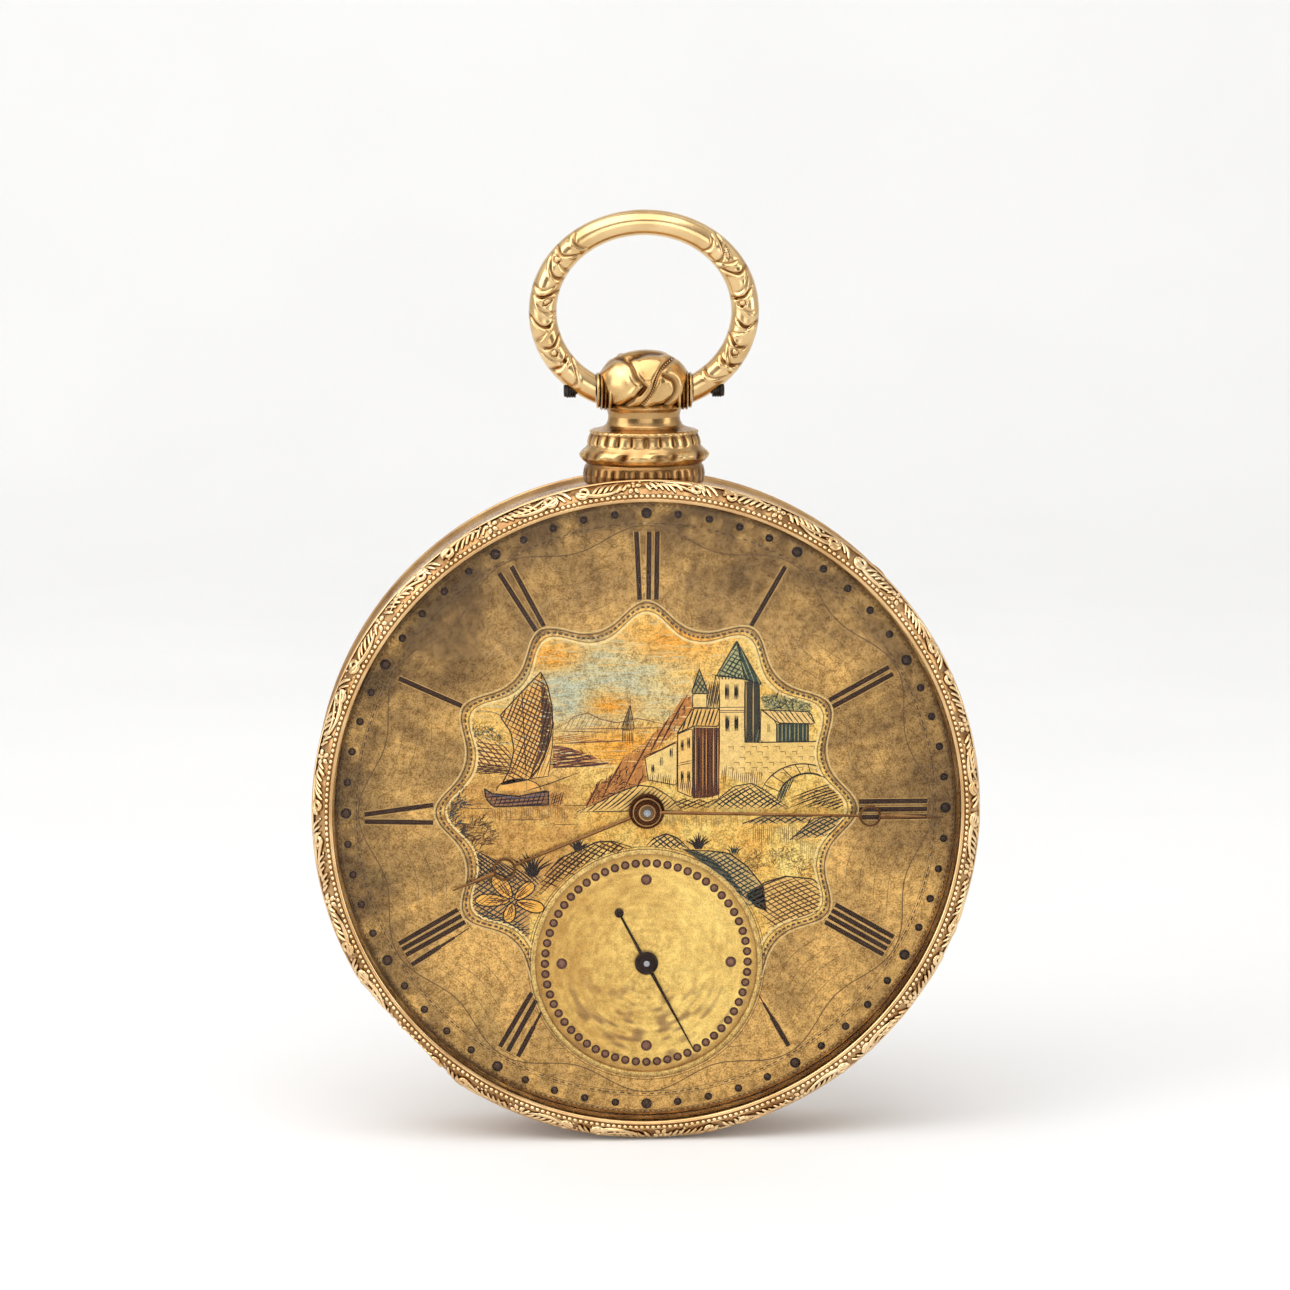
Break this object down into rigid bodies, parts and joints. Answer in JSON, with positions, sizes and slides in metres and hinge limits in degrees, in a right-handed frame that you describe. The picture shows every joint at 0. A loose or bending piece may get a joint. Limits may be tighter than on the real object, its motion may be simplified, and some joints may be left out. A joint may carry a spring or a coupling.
{
  "type": "open face pocket watch",
  "caption": "Open face pocket watch with engraved gold dial, sunk seconds dial, ornate hinged case, bow on a ball pendant and a key-wound going-barrel lever movement.",
  "frame": {"origin": "on the axis of the hour and minute hands, at the dial side face of the main plate", "axes": "+Z from the dial centre towards 12 o'clock and the pendant, +X towards 3 o'clock, the dial faces -Y"},
  "size_m": [0.045, 0.0104, 0.0627],
  "materials": {
    "case_gold": "engine-turned and chased gold, worn bright on the edges",
    "pendant_gold": "polished yellow gold with chased scrolls",
    "dial_gold": "engraved gold with a brown patina",
    "seconds_gold": "fine matt gold with a yellow tone",
    "hand_bronze": "brown oxidised gold",
    "blued_steel": "polished blued steel",
    "crystal_glass": "clear polished glass",
    "steel": "polished and grained steel",
    "movement_gilt": "frosted gilding",
    "wheel_brass": "circular grained brass",
    "ruby": "polished ruby"
  },
  "bodies": {
    "case": {"case_band": "case_gold", "pendant": "pendant_gold", "bezel_hinge_pin": "steel", "back_hinge_pin": "steel", "cuvette_hinge_pin": "steel", "case_screws": "blued_steel", "dial": "dial_gold", "seconds_dial": "seconds_gold", "dial_foot_pins": "wheel_brass", "minute_wheel_post": "steel", "main_plate": "movement_gilt", "barrel_bridge": "movement_gilt", "centre_bridge": "movement_gilt", "third_bridge": "movement_gilt", "fourth_bridge": "movement_gilt", "escape_bridge": "movement_gilt", "pallet_bridge": "movement_gilt", "balance_cock": "movement_gilt", "bridge_screws": "blued_steel", "click_spring": "steel", "click_screws": "blued_steel", "jewels": "ruby", "balance_cap": "steel", "hairspring_stud": "wheel_brass", "hairspring": "blued_steel"},
    "bow": {"bow": "pendant_gold", "bow_screws": "blued_steel"},
    "bezel": {"bezel": "case_gold", "crystal": "crystal_glass"},
    "back": {"back_cover": "case_gold"},
    "cuvette": {"cuvette": "case_gold"},
    "centre": {"centre_wheel": "wheel_brass", "centre_arbor": "steel", "cannon_pinion": "steel", "minute_hand": "hand_bronze", "setting_arbor": "steel"},
    "hour": {"hour_wheel": "wheel_brass", "hour_hand": "hand_bronze"},
    "minute_wheel": {"minute_wheel": "wheel_brass"},
    "third": {"third_wheel": "wheel_brass", "third_arbor": "steel"},
    "fourth": {"fourth_wheel": "wheel_brass", "fourth_arbor": "steel", "seconds_hand": "hand_bronze"},
    "escape": {"escape_wheel": "steel", "escape_arbor": "steel"},
    "barrel": {"barrel": "wheel_brass", "barrel_cover": "wheel_brass", "mainspring": "blued_steel"},
    "winding": {"barrel_arbor": "steel", "ratchet_wheel": "steel"},
    "click": {"click": "steel"},
    "pallet": {"pallet_fork": "steel", "pallet_stones": "ruby", "pallet_arbor": "steel"},
    "balance": {"balance_wheel": "wheel_brass", "balance_staff": "steel", "roller": "steel"},
    "regulator": {"regulator": "steel"}
  },
  "joints": [
    {"name": "bow_swing", "type": "hinge", "parent": "case", "child": "bow", "pos_m": [0, 0.0013, 0.02808], "axis": [1, 0, 0], "range_deg": [-125, 125]},
    {"name": "bezel_hinge", "type": "hinge", "parent": "case", "child": "bezel", "pos_m": [-0.0158, -0.0011, -0.01473], "axis": [0.682, 0, -0.7314], "range_deg": [0, 100]},
    {"name": "back_hinge", "type": "hinge", "parent": "case", "child": "back", "pos_m": [-0.0158, 0.0037, -0.01473], "axis": [-0.682, 0, 0.7314], "range_deg": [0, 100]},
    {"name": "cuvette_hinge", "type": "hinge", "parent": "case", "child": "cuvette", "pos_m": [-0.01499, 0.0049, -0.01398], "axis": [-0.682, 0, 0.7314], "range_deg": [0, 90]},
    {"name": "centre_spin", "type": "hinge", "parent": "case", "child": "centre", "pos_m": [0, 0, 0], "axis": [0, 1, 0], "continuous": true},
    {"name": "hour_spin", "type": "hinge", "parent": "case", "child": "hour", "pos_m": [0, 0, 0], "axis": [0, 1, 0], "continuous": true},
    {"name": "minute_wheel_spin", "type": "hinge", "parent": "case", "child": "minute_wheel", "pos_m": [0.00168, 0, 0.00291], "axis": [0, 1, 0], "continuous": true},
    {"name": "barrel_spin", "type": "hinge", "parent": "case", "child": "barrel", "pos_m": [-0.00399, 0, 0.00856], "axis": [0, 1, 0], "continuous": true},
    {"name": "third_spin", "type": "hinge", "parent": "case", "child": "third", "pos_m": [-0.00119, 0, -0.00582], "axis": [0, 1, 0], "continuous": true},
    {"name": "fourth_spin", "type": "hinge", "parent": "case", "child": "fourth", "pos_m": [0, 0, -0.0105], "axis": [0, 1, 0], "continuous": true},
    {"name": "escape_spin", "type": "hinge", "parent": "case", "child": "escape", "pos_m": [0.00453, 0, -0.0096], "axis": [0, 1, 0], "continuous": true},
    {"name": "winding_spin", "type": "hinge", "parent": "case", "child": "winding", "pos_m": [-0.00399, 0, 0.00856], "axis": [0, 1, 0], "continuous": true},
    {"name": "click_swing", "type": "hinge", "parent": "case", "child": "click", "pos_m": [-0.00044, 0, 0.01041], "axis": [0, 1, 0], "range_deg": [0, 12]},
    {"name": "balance_swing", "type": "hinge", "parent": "case", "child": "balance", "pos_m": [0.01006, 0, -0.00654], "axis": [0, 1, 0], "range_deg": [-220, 220]},
    {"name": "pallet_swing", "type": "hinge", "parent": "case", "child": "pallet", "pos_m": [0.00665, 0, -0.00843], "axis": [0, 1, 0], "range_deg": [-5, 5]},
    {"name": "regulator_swing", "type": "hinge", "parent": "case", "child": "regulator", "pos_m": [0.01006, 0, -0.00654], "axis": [0, 1, 0], "range_deg": [-20, 20]}
  ],
  "couplings": [
    {"joint": "third_spin", "follows": "centre_spin", "ratio": -8},
    {"joint": "fourth_spin", "follows": "centre_spin", "ratio": 60},
    {"joint": "escape_spin", "follows": "centre_spin", "ratio": -600},
    {"joint": "barrel_spin", "follows": "centre_spin", "ratio": -0.125},
    {"joint": "minute_wheel_spin", "follows": "centre_spin", "ratio": -0.33333},
    {"joint": "hour_spin", "follows": "centre_spin", "ratio": 0.083333},
    {"joint": "cuvette_hinge", "follows": "back_hinge", "ratio": 0.9},
    {"joint": "pallet_swing", "follows": "balance_swing", "ratio": -0.022727}
  ]
}
